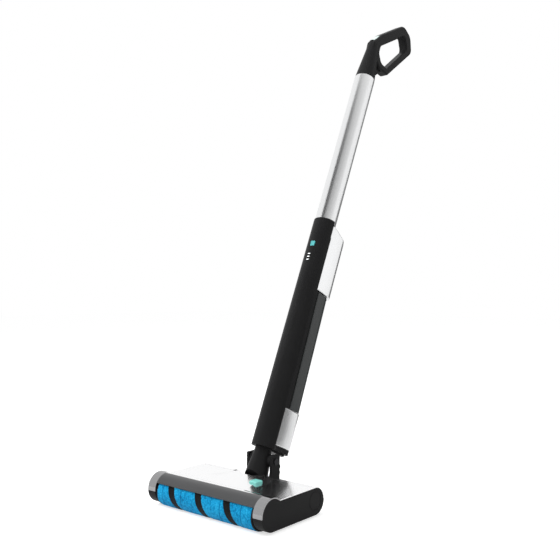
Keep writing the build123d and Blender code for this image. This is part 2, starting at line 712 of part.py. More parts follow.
with BuildPart() as column_spine:
    with BuildSketch(STICK.offset(SPINE_ENDS[0])):
        with Locations((0, PLATE_T / 2)):
            Rectangle(2 * (SHELL_R - 0.2), PLATE_T)
    extrude(amount=SPINE_ENDS[1] - SPINE_ENDS[0])
    # Side walls, deeper behind the tank so that they follow its sloping front
    for wall_x in (-SPINE_WALL_X, SPINE_WALL_X - SPINE_WALL_T):
        with BuildSketch(SIDE.offset(wall_x)):
            with BuildLine():
                Polyline(
                    (PLATE_T, SPINE_ENDS[0]),
                    (SPINE_DEPTH, SPINE_ENDS[0]),
                    (SPINE_DEPTH, LOWER_COVER[1]),
                    (TANK_FRONT[0] - 2 * CLEAR, TANK_ENDS[0]),
                    (TANK_FRONT[1] - 2 * CLEAR, TANK_ENDS[1]),
                    (SPINE_DEPTH, UPPER_COVER[0]),
                    (SPINE_DEPTH, SPINE_ENDS[1]),
                    (PLATE_T, SPINE_ENDS[1]),
                    close=True,
                )
            make_face()
        extrude(amount=SPINE_WALL_T)
write(column_spine.part, "column_spine")


# Bright back covers below and above the clean water tank
COVER_SLOPE = ((8.0, 569.0), (50.0, 556.0), (68.0, 532.0))
COVER_SLOPE_R = 18.0
SOCKET_HEIGHT = 96.0
SOCKET_R = 2.75
SOCKET_OUTER = 5.0
SOCKET_DEPTH = 10.0


def cover_form(bottom, top, wall):
    """Back of the stick between two heights, drawn in by a wall thickness."""
    with BuildPart() as form:
        with BuildSketch(STICK.offset(bottom + wall)):
            add(back_outline(BACK_HALF, PLATE_T, BACK_DEPTH, BACK_CORNER, wall))
        extrude(amount=top - bottom - 2 * wall)
    return form.part


def spine_slot(bottom, top):
    """Room for the side walls of the spine in the closed ends of a back cover."""
    with BuildPart() as slot:
        with BuildSketch(STICK.offset(bottom)):
            with Locations((0, SPINE_DEPTH / 2)):
                Rectangle(2 * SPINE_WALL_X, SPINE_DEPTH)
        extrude(amount=top - bottom)
    return slot.part


def slope_cut(wall):
    """What the sloping shoulder takes off the top of the upper cover."""
    with BuildPart() as cut:
        with BuildSketch(SIDE.offset(-BACK_HALF)):
            with BuildLine():
                slope = FilletPolyline(
                    *[(rear, height - wall) for rear, height in COVER_SLOPE], radius=COVER_SLOPE_R
                )
                Polyline(slope @ 1, (COVER_SLOPE[2][0], 600), (COVER_SLOPE[0][0], 600), slope @ 0)
            make_face()
        extrude(amount=2 * BACK_HALF)
    return cut.part


with BuildPart() as lower_back_cover:
    add(cover_form(*LOWER_COVER, 0.0))
    add(cover_form(*LOWER_COVER, BACK_WALL), mode=Mode.SUBTRACT)
    add(spine_slot(*LOWER_COVER), mode=Mode.SUBTRACT)
    with BuildSketch(FRONT_PLANE.offset(-BACK_DEPTH)):
        with Locations((0, SOCKET_HEIGHT)):
            Circle(SOCKET_OUTER)
    extrude(amount=10, mode=Mode.SUBTRACT)
write(lower_back_cover.part, "lower_back_cover")

with BuildPart() as charge_socket:
    with BuildSketch(FRONT_PLANE.offset(-BACK_DEPTH)):
        with Locations((0, SOCKET_HEIGHT)):
            Circle(SOCKET_OUTER)
    extrude(amount=SOCKET_DEPTH + 3)
    with BuildSketch(FRONT_PLANE.offset(-BACK_DEPTH)):
        with Locations((0, SOCKET_HEIGHT)):
            Circle(SOCKET_R)
    extrude(amount=SOCKET_DEPTH, mode=Mode.SUBTRACT)
write(charge_socket.part, "charge_socket")

with BuildPart() as upper_cover_room:
    add(cover_form(*UPPER_COVER, BACK_WALL))
    add(slope_cut(2 * BACK_WALL), mode=Mode.SUBTRACT)

with BuildPart() as upper_back_cover:
    add(cover_form(*UPPER_COVER, 0.0))
    add(slope_cut(0.0), mode=Mode.SUBTRACT)
    add(upper_cover_room.part, mode=Mode.SUBTRACT)
    add(spine_slot(*UPPER_COVER), mode=Mode.SUBTRACT)
    with BuildSketch(STICK.offset(SPINE_ENDS[1] - 2)):
        Circle(PLUG_LOW_R)
    extrude(amount=UPPER_COVER[1] - SPINE_ENDS[1] + 4, mode=Mode.SUBTRACT)
write(upper_back_cover.part, "upper_back_cover")

# Clean water tank: a deep dark shell, its front wall and the valve that it seats on
TANK_CORNER = 19.0


def tank_block(inset):
    """Tank form between its two ends, narrower at the top."""
    with BuildPart() as block:
        for end in (0, 1):
            with BuildSketch(STICK.offset(TANK_ENDS[end] + (inset if end == 0 else -inset))):
                add(back_outline(TANK_HALF, TANK_FRONT[end] + inset, TANK_REAR[end], TANK_CORNER, inset))
        loft(ruled=True)
    return block.part


VALVE_POINT = (0.0, 40.0)
VALVE_R = 6.0
with BuildPart() as clean_tank:
    add(tank_block(0.0))
    add(tank_block(TANK_WALL), mode=Mode.SUBTRACT)
    with BuildSketch(SIDE.offset(-TANK_HALF)):
        with BuildLine():
            Polyline(
                (TANK_FRONT[0] - 1, TANK_ENDS[0]),
                (TANK_FRONT[0] + TANK_WALL, TANK_ENDS[0]),
                (TANK_FRONT[1] + TANK_WALL, TANK_ENDS[1]),
                (TANK_FRONT[1] - 1, TANK_ENDS[1]),
                close=True,
            )
        make_face()
    extrude(amount=2 * TANK_HALF, mode=Mode.SUBTRACT)
    with BuildSketch(STICK.offset(TANK_ENDS[0] - 1)):
        with Locations(VALVE_POINT):
            Circle(VALVE_R)
    extrude(amount=TANK_WALL + 2, mode=Mode.SUBTRACT)
write(clean_tank.part, "clean_tank")

with BuildPart() as tank_front:
    with BuildSketch(SIDE.offset(-TANK_HALF)):
        with BuildLine():
            Polyline(
                (TANK_FRONT[0], TANK_ENDS[0]),
                (TANK_FRONT[0] + TANK_WALL, TANK_ENDS[0]),
                (TANK_FRONT[1] + TANK_WALL, TANK_ENDS[1]),
                (TANK_FRONT[1], TANK_ENDS[1]),
                close=True,
            )
        make_face()
    extrude(amount=2 * TANK_HALF)
write(tank_front.part, "tank_front")

with BuildPart() as tank_valve:
    with BuildSketch(STICK.offset(TANK_ENDS[0])):
        with Locations(VALVE_POINT):
            Circle(VALVE_R)
    extrude(amount=8)
    with BuildSketch(STICK.offset(TANK_ENDS[0])):
        with Locations(VALVE_POINT):
            Circle(2)
    extrude(amount=5, mode=Mode.SUBTRACT)
write(tank_valve.part, "tank_valve")

# Inside the column: battery cells, control board and water pump
CELL_R = 9.2
CELL_LENGTH = 65.0
CELL_SPREAD = 9.3
CELL_DEPTH = -10.2
CELL_START = 82.0
CELL_STEP = 66.0

with BuildPart() as battery_cells:
    for row in range(3):
        with BuildSketch(STICK.offset(CELL_START + row * CELL_STEP)):
            with Locations((-CELL_SPREAD, CELL_DEPTH), (CELL_SPREAD, CELL_DEPTH)):
                Circle(CELL_R)
        extrude(amount=CELL_LENGTH)
write(battery_cells.part, "battery_cells")

HOLDER_T = 3.0
with BuildPart() as cell_holder:
    for height in (CELL_START - HOLDER_T, CELL_START + 3 * CELL_STEP - 1):
        with BuildSketch(STICK.offset(height)):
            Circle(SHELL_R - SHELL_WALL)
            with Locations((0, SHELL_R)):
                Rectangle(4 * SHELL_R, 2 * SHELL_R, mode=Mode.SUBTRACT)
        extrude(amount=HOLDER_T)
write(cell_holder.part, "cell_holder")

BOARD = (30.0, 80.0, 1.6)
BOARD_DEPTH = 13.0
with BuildPart() as control_board:
    with BuildSketch(FRONT_PLANE.offset(BOARD_DEPTH - BOARD[2])):
        with Locations((0, 495)):
            Rectangle(BOARD[0], BOARD[1])
    extrude(amount=BOARD[2])
write(control_board.part, "control_board")

PUMP_POINT = (0.0, 33.0)
PUMP_R = 14.0
PUMP_ENDS = (LOWER_COVER[0] + BACK_WALL, 128.0)
with BuildPart() as water_pump:
    with BuildSketch(STICK.offset(PUMP_ENDS[0])):
        with Locations(PUMP_POINT):
            Circle(PUMP_R)
    extrude(amount=PUMP_ENDS[1] - PUMP_ENDS[0])
    with BuildSketch(STICK.offset(PUMP_ENDS[1])):
        with Locations(PUMP_POINT):
            Circle(3)
    extrude(amount=LOWER_COVER[1] - BACK_WALL - PUMP_ENDS[1])
write(water_pump.part, "water_pump")

# Power button with its return spring, and three charge lights
POWER_FACE = SHELL_R + 0.3
POWER_BACK = 19.5
with BuildPart() as power_button:
    with BuildSketch(FRONT_PLANE.offset(POWER_BACK)):
        with Locations((POWER_X, POWER_HEIGHT)):
            RectangleRounded(*POWER_SIZE, 1.8)
    extrude(amount=POWER_FACE - POWER_BACK)
write(power_button.part, "power_button")

power_spring_plane = Plane(
    origin=FRONT_PLANE.from_local_coords((POWER_X, POWER_HEIGHT, BOARD_DEPTH + 0.6)),
    z_dir=FRONT_PLANE.z_dir,
)
with BuildPart() as power_spring:
    add(coil_spring(power_spring_plane, 4, POWER_BACK - BOARD_DEPTH - 1.2, 3.0, 0.4))
write(power_spring.part, "power_spring")

with BuildPart() as charge_lights:
    with BuildSketch(FRONT_PLANE.offset(BOARD_DEPTH)):
        with Locations(*[(LED_X, height) for height in LED_HEIGHTS]):
            RectangleRounded(*LED_SIZE, 0.6)
    extrude(amount=SHELL_R - BOARD_DEPTH + 0.05)
write(charge_lights.part, "charge_lights")

# Aluminium tube, the plug that joins it to the column, and the ring under the handle
PLUG_ENDS = (SPINE_ENDS[1], TUBE_ENDS[0], 620.0)
PLUG_WALL = 3.0
with BuildPart() as tube_plug:
    with BuildSketch(STICK.offset(PLUG_ENDS[0])):
        Circle(PLUG_LOW_R)
    extrude(amount=PLUG_ENDS[1] - PLUG_ENDS[0])
    with BuildSketch(STICK.offset(PLUG_ENDS[1])):
        Circle(TUBE_R - TUBE_WALL)
    extrude(amount=PLUG_ENDS[2] - PLUG_ENDS[1])
    with BuildSketch(STICK.offset(PLUG_ENDS[0])):
        Circle(PLUG_LOW_R - PLUG_WALL)
    extrude(amount=PLUG_ENDS[2] - PLUG_ENDS[0], mode=Mode.SUBTRACT)
write(tube_plug.part, "tube_plug")

with BuildPart() as upper_tube:
    with BuildSketch(STICK.offset(TUBE_ENDS[0])):
        Circle(TUBE_R)
        Circle(TUBE_R - TUBE_WALL, mode=Mode.SUBTRACT)
    extrude(amount=TUBE_ENDS[1] - TUBE_ENDS[0])
write(upper_tube.part, "upper_tube")

# Handle: tapered post and a D loop, moulded in two hollow halves. Points are (rear, height)
HANDLE_OUTER = (
    (-13, 1052), (-15, 1080), (8, 1120), (84, 1214), (124, 1210),
    (146, 1172), (70, 1041), (30, 1030),
)
HANDLE_OUTER_R = (6, 14, 60, 26, 24, 20, 8, 12)
HANDLE_INNER = (
    (15, 1088), (98, 1191), (122, 1164), (60, 1054), (32, 1050), (15, 1066),
)
HANDLE_INNER_R = (18, 8, 14, 9, 12, 14)
LOOP_HALF = 12.0
LOOP_ROUND = 4.5
HANDLE_WALL = 2.6
POST_TOP = 1086.0
POST_TOP_CENTRE = (0.0, 0.0)
POST_TOP_SIZE = (13.0, 15.0)
POST_BASE_R = 24.4
WEB = ((16, 990), (27, 1006), (47, 1036), (16, 1060))
WEB_HALF = 5.0


def loop_outline(points, radii, grow):
    """Closed outline with rounded corners, seen from the side of the stick."""
    with BuildSketch() as outline:
        with BuildLine():
            FilletPolyline(*points, radius=list(radii), close=True)
        make_face()
        if grow:
            offset(amount=grow)
    return outline.sketch


def handle_form(wall):
    """Handle without its button seat, drawn in by a wall thickness."""
    with BuildPart() as form:
        with BuildSketch(SIDE.offset(-LOOP_HALF + wall)):
            add(loop_outline(HANDLE_OUTER, HANDLE_OUTER_R, -wall))
            add(loop_outline(HANDLE_INNER, HANDLE_INNER_R, wall), mode=Mode.SUBTRACT)
        extrude(amount=2 * (LOOP_HALF - wall))
        if wall == 0:
            fillet(form.faces().filter_by(Axis.X).edges(), radius=LOOP_ROUND)
        with BuildSketch(STICK.offset(HANDLE_BASE + wall)):
            Circle(POST_BASE_R - wall)
        with BuildSketch(STICK.offset(POST_TOP - wall)):
            with Locations(POST_TOP_CENTRE):
                Ellipse(POST_TOP_SIZE[0] - wall, POST_TOP_SIZE[1] - wall)
        loft()
        with BuildSketch(SIDE.offset(-WEB_HALF + wall)):
            with BuildLine():
                Polyline(*WEB, close=True)
            make_face()
        extrude(amount=2 * (WEB_HALF - wall))
    return form.part


def thumb_frame():
    """Plane on the handle's front corner that the thumb button moves square to."""
    lower = Vector(-15, 1080)
    upper = Vector(8, 1120)
    middle = (lower + upper) * 0.5
    along = (upper - lower).normalized()
    origin = SIDE.from_local_coords((middle.X, middle.Y, 0))
    outward = SIDE.from_local_coords((middle.X - along.Y, middle.Y + along.X, 0)) - origin
    return Plane(origin=origin, x_dir=(1, 0, 0), z_dir=outward)


THUMB = thumb_frame()
THUMB_SIZE = (15.0, 28.0)
THUMB_SINK = 6.0
THUMB_RISE = 1.0
THUMB_TRAVEL = 2.5
THUMB_SPRING = 4.5

handle_outer = handle_form(0.0)
handle_inner = handle_form(HANDLE_WALL)
for side_name, keep_side in (("left", Keep.BOTTOM), ("right", Keep.TOP)):
    with BuildPart() as handle_half:
        add(handle_outer)
        add(handle_inner, mode=Mode.SUBTRACT)
        with BuildSketch(THUMB.offset(-THUMB_SINK - THUMB_SPRING - 1)):
            RectangleRounded(THUMB_SIZE[0] + 2 * CLEAR, THUMB_SIZE[1] + 2 * CLEAR, 4)
        extrude(amount=30, mode=Mode.SUBTRACT)
        split(bisect_by=Plane.YZ, keep=keep_side)
    write(handle_half.part, f"handle_{side_name}")

with BuildPart() as thumb_button:
    with BuildSketch(THUMB.offset(-THUMB_SINK)):
        RectangleRounded(*THUMB_SIZE, 4)
    extrude(amount=THUMB_SINK + THUMB_RISE)
    fillet(thumb_button.faces().sort_by(lambda f: f.center().Z)[-1].edges(), radius=1)
write(thumb_button.part, "thumb_button")

thumb_spring_plane = THUMB.offset(-THUMB_SINK - THUMB_SPRING - 0.6)
with BuildPart() as thumb_spring:
    add(coil_spring(thumb_spring_plane, 3, THUMB_SPRING - 0.4, 3.0, 0.4))
write(thumb_spring.part, "thumb_spring")
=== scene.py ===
"""A cordless stick floor scrubber: finishes, roller pile, bristles and small fittings over its solids.

Metres, +X along the roller to the right, +Y to the rear, +Z up, the origin on the floor under the head.
"""
import json
import random
from math import copysign, cos, radians, sin, tan, tau

import bmesh
import bpy
from mathutils import Matrix, Vector, noise


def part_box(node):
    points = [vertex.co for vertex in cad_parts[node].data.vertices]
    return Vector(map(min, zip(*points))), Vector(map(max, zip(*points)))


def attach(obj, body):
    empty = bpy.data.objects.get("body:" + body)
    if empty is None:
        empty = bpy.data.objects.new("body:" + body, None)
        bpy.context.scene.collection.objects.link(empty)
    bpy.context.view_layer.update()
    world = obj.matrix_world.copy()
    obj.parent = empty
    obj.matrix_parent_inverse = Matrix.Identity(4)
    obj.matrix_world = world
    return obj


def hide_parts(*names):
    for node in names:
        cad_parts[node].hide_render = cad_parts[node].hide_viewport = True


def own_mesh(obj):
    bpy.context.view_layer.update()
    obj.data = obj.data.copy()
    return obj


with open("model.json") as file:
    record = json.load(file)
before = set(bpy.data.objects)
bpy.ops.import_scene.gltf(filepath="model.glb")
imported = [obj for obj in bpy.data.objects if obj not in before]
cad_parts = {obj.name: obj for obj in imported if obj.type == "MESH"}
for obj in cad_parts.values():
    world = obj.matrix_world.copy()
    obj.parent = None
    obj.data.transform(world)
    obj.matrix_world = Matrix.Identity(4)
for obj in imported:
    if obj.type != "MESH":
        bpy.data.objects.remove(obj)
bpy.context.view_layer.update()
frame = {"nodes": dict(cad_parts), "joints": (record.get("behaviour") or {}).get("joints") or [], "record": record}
MM = 0.001
RIGHT = Vector((1, 0, 0))
UP = Vector((0, 0, 1))

# The stick's own directions: square to it towards the back and along it, and its foot
BACKWARD = Vector(next(j["axis"] for j in frame["joints"] if j["name"] == "tank_pull"))
ALONG = RIGHT.cross(BACKWARD)
FOOT = Vector((0, 60, 42.8)) * MM

# The roller, from its joint and its packed sleeve: one strip winds along it, with pile between its turns
ROLLER_AXIS = Vector(next(j["pos_m"] for j in frame["joints"] if j["name"] == "roller_spin"))
SLEEVE_LOW, SLEEVE_HIGH = (Vector(corner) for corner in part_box("roller_sleeve"))
SLEEVE_LENGTH = SLEEVE_HIGH.x - SLEEVE_LOW.x
ROLLER_R = (SLEEVE_HIGH.z - SLEEVE_LOW.z) / 2
CORE_R = 23.5 * MM
STRIP_PITCH = 71.5 * MM
STRIP_ANGLE = radians(84)
STRIP_START = radians(-69)
STRIP_SINK = 0.6 * MM

# The photograph's camera
CAMERA_PLACE = Vector((909.8, -969.0, 406.1)) * MM
CAMERA_AZIMUTH = radians(39.42)
CAMERA_TILT = radians(-1.26)
CAMERA_LENS = 44.74
SENSOR = 36.0


# Finishes

BUMP_REACH = 0.0002
PLASTIC_UNEVEN = 0.06
METAL_UNEVEN = 0.05

# Colour sockets of a mix node: two inputs and the result
MIX_FIRST, MIX_SECOND, MIX_RESULT = 6, 7, 2


class Finish:
    """A material with one Principled shader and short calls that add and join its nodes."""

    def __init__(self, name, **sockets):
        self.material = bpy.data.materials.new(name)
        self.material.use_nodes = True
        self.tree = self.material.node_tree
        self.shader = self.tree.nodes["Principled BSDF"]
        for socket, value in sockets.items():
            self.shader.inputs[socket.replace("_", " ")].default_value = value

    def node(self, kind, **values):
        return add_node(self.tree, kind, **values)

    def feed(self, source, socket):
        self.tree.links.new(source, self.shader.inputs[socket])


def add_node(tree, kind, **values):
    """A new node: capitalised names set or link its inputs, and the others set its properties."""
    made = tree.nodes.new(kind)
    for name, value in values.items():
        if not name[0].isupper():
            setattr(made, name, value)
            continue
        socket = made.inputs[name.replace("_", " ")]
        if isinstance(value, bpy.types.NodeSocket):
            tree.links.new(value, socket)
        else:
            socket.default_value = value
    return made


def new_group(name, inputs, outputs):
    """An empty shader node group with float, vector or colour sockets."""
    group = bpy.data.node_groups.new(name, "ShaderNodeTree")
    for socket, kind, value in inputs:
        made = group.interface.new_socket(socket, in_out="INPUT", socket_type=kind)
        made.default_value = value
    for socket, kind in outputs:
        group.interface.new_socket(socket, in_out="OUTPUT", socket_type=kind)
    entry = group.nodes.new("NodeGroupInput")
    leave = group.nodes.new("NodeGroupOutput")
    return group, entry.outputs, leave.inputs


def raise_surface(group, entry, leave, height):
    """The group's normal: a fine relief on edges that are softened by a radius."""
    edge = add_node(group, "ShaderNodeBevel", samples=4, Radius=entry["Edge"])
    bump = add_node(
        group,
        "ShaderNodeBump",
        Strength=entry["Depth"],
        Distance=BUMP_REACH,
        Height=height,
        Normal=edge.outputs["Normal"],
    )
    group.links.new(bump.outputs["Normal"], leave["Normal"])


def make_moulded_surface():
    """Fine spark-eroded grain with softened edges: a normal, and a mask for uneven gloss."""
    group, entry, leave = new_group(
        "moulded_surface",
        [
            ("Grain", "NodeSocketFloat", 1800.0),
            ("Depth", "NodeSocketFloat", 0.1),
            ("Edge", "NodeSocketFloat", 0.0004),
        ],
        [("Normal", "NodeSocketVector"), ("Gloss", "NodeSocketFloat")],
    )
    place = group.nodes.new("ShaderNodeTexCoord").outputs["Object"]
    grain = add_node(group, "ShaderNodeTexNoise", Vector=place, Scale=entry["Grain"], Detail=2.0)
    raise_surface(group, entry, leave, grain.outputs["Fac"])
    smear = add_node(group, "ShaderNodeTexNoise", Vector=place, Scale=22.0, Detail=4.0, Roughness=0.6)
    group.links.new(smear.outputs["Fac"], leave["Gloss"])
    return group


def make_brushed_surface():
    """Fine lines along one direction: a normal, and a mask of brighter and duller lines."""
    group, entry, leave = new_group(
        "brushed_surface",
        [
            ("Stretch", "NodeSocketVector", (900.0, 900.0, 8.0)),
            ("Turn", "NodeSocketVector", (0.0, 0.0, 0.0)),
            ("Depth", "NodeSocketFloat", 0.05),
            ("Edge", "NodeSocketFloat", 0.0003),
        ],
        [("Normal", "NodeSocketVector"), ("Gloss", "NodeSocketFloat")],
    )
    place = group.nodes.new("ShaderNodeTexCoord").outputs["Object"]
    turned = add_node(group, "ShaderNodeMapping", Vector=place, Rotation=entry["Turn"])
    stretched = add_node(group, "ShaderNodeVectorMath", operation="MULTIPLY")
    group.links.new(turned.outputs["Vector"], stretched.inputs[0])
    group.links.new(entry["Stretch"], stretched.inputs[1])
    lines = add_node(group, "ShaderNodeTexNoise", Vector=stretched.outputs[0], Scale=1.0, Detail=3.0)
    raise_surface(group, entry, leave, lines.outputs["Fac"])
    group.links.new(lines.outputs["Fac"], leave["Gloss"])
    return group


MOULDED = make_moulded_surface()
BRUSHED = make_brushed_surface()


def spread(finish, mask, low, high):
    """A mask from 0 to 1 turned into a value between low and high."""
    ranged = finish.node("ShaderNodeMapRange", Value=mask, To_Min=low, To_Max=high)
    return ranged.outputs["Result"]


def tinted(finish, mask, dark, light):
    """A mask from 0 to 1 turned into a colour between dark and light."""
    mix = finish.node("ShaderNodeMix", data_type="RGBA")
    finish.tree.links.new(mask, mix.inputs["Factor"])
    mix.inputs[MIX_FIRST].default_value = (*dark, 1)
    mix.inputs[MIX_SECOND].default_value = (*light, 1)
    return mix.outputs[MIX_RESULT]


def lay_surface(finish, surface, dark, light, rough, uneven):
    """Colour, gloss and relief of a surface group, joined to the finish's shader."""
    gloss = surface.outputs["Gloss"]
    finish.feed(tinted(finish, gloss, dark, light), "Base Color")
    finish.feed(spread(finish, gloss, rough - uneven, rough + uneven), "Roughness")
    finish.feed(surface.outputs["Normal"], "Normal")
    return finish.material


def moulded_plastic(name, dark, light, rough, depth=0.1, edge=0.0004, **sockets):
    """Moulded plastic whose colour and gloss wander a little over the surface."""
    finish = Finish(name, **sockets)
    surface = finish.node("ShaderNodeGroup", node_tree=MOULDED, Depth=depth, Edge=edge)
    return lay_surface(finish, surface, dark, light, rough, PLASTIC_UNEVEN)


def brushed_metal(name, dark, light, rough, stretch, turn=(0, 0, 0), depth=0.05, edge=0.0003):
    """Satin metal with fine brushed lines."""
    finish = Finish(name, Metallic=1.0)
    surface = finish.node(
        "ShaderNodeGroup", node_tree=BRUSHED, Stretch=stretch, Turn=turn, Depth=depth, Edge=edge
    )
    return lay_surface(finish, surface, dark, light, rough, METAL_UNEVEN)


black_plastic = moulded_plastic(
    "black_plastic",
    (0.0155, 0.0155, 0.016),
    (0.0205, 0.0205, 0.021),
    rough=0.38,
    Specular_IOR_Level=0.06,
)
inner_plastic = moulded_plastic(
    "inner_plastic", (0.008, 0.008, 0.0085), (0.012, 0.012, 0.013), rough=0.55, Specular_IOR_Level=0.2
)
visor_grey = moulded_plastic(
    "visor_grey",
    (0.044, 0.045, 0.047),
    (0.054, 0.055, 0.057),
    rough=0.3,
    depth=0.04,
    Specular_IOR_Level=0.35,
    Coat_Weight=0.2,
)
tank_dark = moulded_plastic(
    "tank_dark", (0.03, 0.03, 0.033), (0.04, 0.04, 0.044), rough=0.4, Specular_IOR_Level=0.3
)
tank_smoke = moulded_plastic(
    "tank_smoke",
    (0.034, 0.038, 0.038),
    (0.042, 0.046, 0.046),
    rough=0.2,
    depth=0.0,
    edge=0.0012,
    Specular_IOR_Level=0.3,
)
soft_rubber = moulded_plastic(
    "soft_rubber", (0.018, 0.018, 0.018), (0.028, 0.028, 0.028), rough=0.7, depth=0.2
)
teal_button = moulded_plastic(
    "teal_button", (0.22, 0.78, 0.70), (0.34, 0.88, 0.80), rough=0.22, depth=0.0, edge=0.001
)
power_teal = moulded_plastic(
    "power_teal", (0.06, 0.42, 0.44), (0.12, 0.54, 0.54), rough=0.25, depth=0.0
)
rim_teal = moulded_plastic("rim_teal", (0.50, 0.84, 0.80), (0.62, 0.92, 0.88), rough=0.3, depth=0.0)
thumb_pale = moulded_plastic(
    "thumb_pale", (0.66, 0.82, 0.78), (0.80, 0.90, 0.87), rough=0.25, depth=0.0
)
light_white = moulded_plastic(
    "light_white",
    (0.85, 0.88, 0.88),
    (0.95, 0.96, 0.96),
    rough=0.4,
    depth=0.0,
    Emission_Color=(0.9, 0.97, 1.0, 1),
    Emission_Strength=0.6,
)
board_green = moulded_plastic("board_green", (0.015, 0.10, 0.04), (0.02, 0.14, 0.06), rough=0.4)
cell_wrap = moulded_plastic("cell_wrap", (0.04, 0.13, 0.30), (0.05, 0.18, 0.40), rough=0.3)

# Brushed lines run in the direction of a stretch's smallest number, and those on the stick lean with it
STICK_LEAN = (ALONG.angle(UP), 0, 0)
silver_cover = brushed_metal(
    "silver_cover",
    (0.80, 0.805, 0.81),
    (0.87, 0.875, 0.88),
    rough=0.22,
    stretch=(900, 900, 8),
    turn=STICK_LEAN,
    edge=0.003,
)
tube_aluminium = brushed_metal(
    "tube_aluminium",
    (0.80, 0.805, 0.81),
    (0.87, 0.875, 0.88),
    rough=0.24,
    stretch=(900, 900, 6),
    turn=STICK_LEAN,
)
lid_silver = brushed_metal(
    "lid_silver",
    (0.93, 0.93, 0.935),
    (0.97, 0.97, 0.975),
    rough=0.17,
    stretch=(8, 900, 900),
    depth=0.006,
)
trim_metal = brushed_metal(
    "trim_metal",
    (0.30, 0.30, 0.305),
    (0.36, 0.36, 0.365),
    rough=0.14,
    stretch=(10, 700, 700),
    depth=0.02,
)
core_metal = brushed_metal(
    "core_metal", (0.55, 0.55, 0.57), (0.65, 0.65, 0.67), rough=0.3, stretch=(8, 700, 700)
)
turned_steel = brushed_metal(
    "turned_steel", (0.5, 0.5, 0.52), (0.6, 0.6, 0.62), rough=0.25, stretch=(1200, 20, 20)
)
black_steel = brushed_metal(
    "black_steel", (0.03, 0.03, 0.032), (0.045, 0.045, 0.048), rough=0.4, stretch=(20, 700, 700)
)
black_screw = brushed_metal(
    "black_screw", (0.08, 0.08, 0.085), (0.11, 0.11, 0.115), rough=0.35, stretch=(700, 700, 700)
)
motor_steel = brushed_metal(
    "motor_steel", (0.38, 0.38, 0.40), (0.46, 0.46, 0.48), rough=0.35, stretch=(8, 700, 700)
)
bush_bronze = brushed_metal(
    "bush_bronze", (0.5, 0.34, 0.18), (0.58, 0.41, 0.22), rough=0.35, stretch=(900, 20, 20)
)

# One finish for each slot of the record; the roller's two solids are hidden under new bands, in rubber
SLOT_FINISHES = {
    "black_plastic": black_plastic,
    "inner_plastic": inner_plastic,
    "silver_cover": silver_cover,
    "tube_aluminium": tube_aluminium,
    "trim_metal": trim_metal,
    "visor_grey": visor_grey,
    "tank_smoke": tank_smoke,
    "tank_dark": tank_dark,
    "core_metal": core_metal,
    "steel": turned_steel,
    "spring_steel": turned_steel,
    "motor_steel": motor_steel,
    "bush_bronze": bush_bronze,
    "teal_button": teal_button,
    "power_teal": power_teal,
    "thumb_pale": thumb_pale,
    "light_white": light_white,
    "board_green": board_green,
    "cell_wrap": cell_wrap,
    "soft_rubber": soft_rubber,
    "pile_blue": soft_rubber,
    "bristle_black": soft_rubber,
}
NODE_FINISHES = {
    "tank_lid": lid_silver,
    "hood_rail": lid_silver,
    "rear_cover_left": lid_silver,
    "rear_cover_right": lid_silver,
    "hinge_pin": black_steel,
}


def dress(obj, material):
    """Gives the object this one material."""
    obj.data.materials.clear()
    obj.data.materials.append(material)


for subpart in frame["record"]["subparts"]:
    slot_finish = SLOT_FINISHES[subpart["material_slot"]]
    dress(frame["nodes"][subpart["node"]], NODE_FINISHES.get(subpart["node"], slot_finish))


def link_mesh(name, bm, material):
    """A new object from a bmesh, with outward faces, in its one material."""
    bmesh.ops.recalc_face_normals(bm, faces=bm.faces)
    mesh = bpy.data.meshes.new(name)
    bm.to_mesh(mesh)
    bm.free()
    piece = bpy.data.objects.new(name, mesh)
    bpy.context.scene.collection.objects.link(piece)
    dress(piece, material)
    return piece


def fit(piece, slot, body, *nodes):
    """Puts a piece on its body and hides the solids it stands for; its finish slot is not used."""
    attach(piece, body)
    if nodes:
        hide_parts(*nodes)


def picked(items, kind):
    """Those items of an operator's result that are of one kind."""
    return [item for item in items if isinstance(item, kind)]


# Roller: a band of microfibre pile and a band of stiff black bristle, wound side by side

BAND_GRID = 1.1 * MM
PILE_ANGLE = tau - STRIP_ANGLE
LEAD_IN = 0.04
END_MARGIN = 2 * MM
SEAM_RINGS = [(-105 + 50 * i) * MM for i in range(5)]
SEAM_HALF = 1.3 * MM
CLUMP_FALL = 0.8
CURL_RISE = 0.25
CURL_SIZE = 0.4
# Painted shade and light: how far the pile's tone falls in the hollows between clumps and rises on their crowns
CLUMP_PAINTED_SHADE = (-0.25, 0.5)
WASH_SHARE = 0.6
DARK_STOP, MIDDLE_STOP, LIGHT_STOP = 0.1, 0.45, 0.8
HAIR_BATCH = 250
HAIR_SHORTEST = 0.988
# Painted shade: the lower share of each hair takes a darker value, as shade deep in the pile
HAIR_ROOT_SHARE = 0.6
HAIR_ROOT_PAINTED_SHADE = 0.35
PILE_SEED = 11
PILE_BATCHES = 28
PILE_SIDES = (0.03, 0.97)
PILE_ROOT = 1.3 * MM
BRISTLE_SEED = 12
BRISTLE_ROWS = 5
BRISTLE_STEP = 2.6 * MM
BRISTLE_JITTER = 0.2
BRISTLE_ROOT = 1.2 * MM


def spoke_of(place):
    """The part of a place that points straight out from the roller's axis."""
    return (place - ROLLER_AXIS) * Vector((0, 1, 1))


def around_roller(x, angle, radius):
    """A place at a distance along the roller, an angle round it and a radius."""
    return Vector((x, ROLLER_AXIS.y + radius * cos(angle), ROLLER_AXIS.z + radius * sin(angle)))


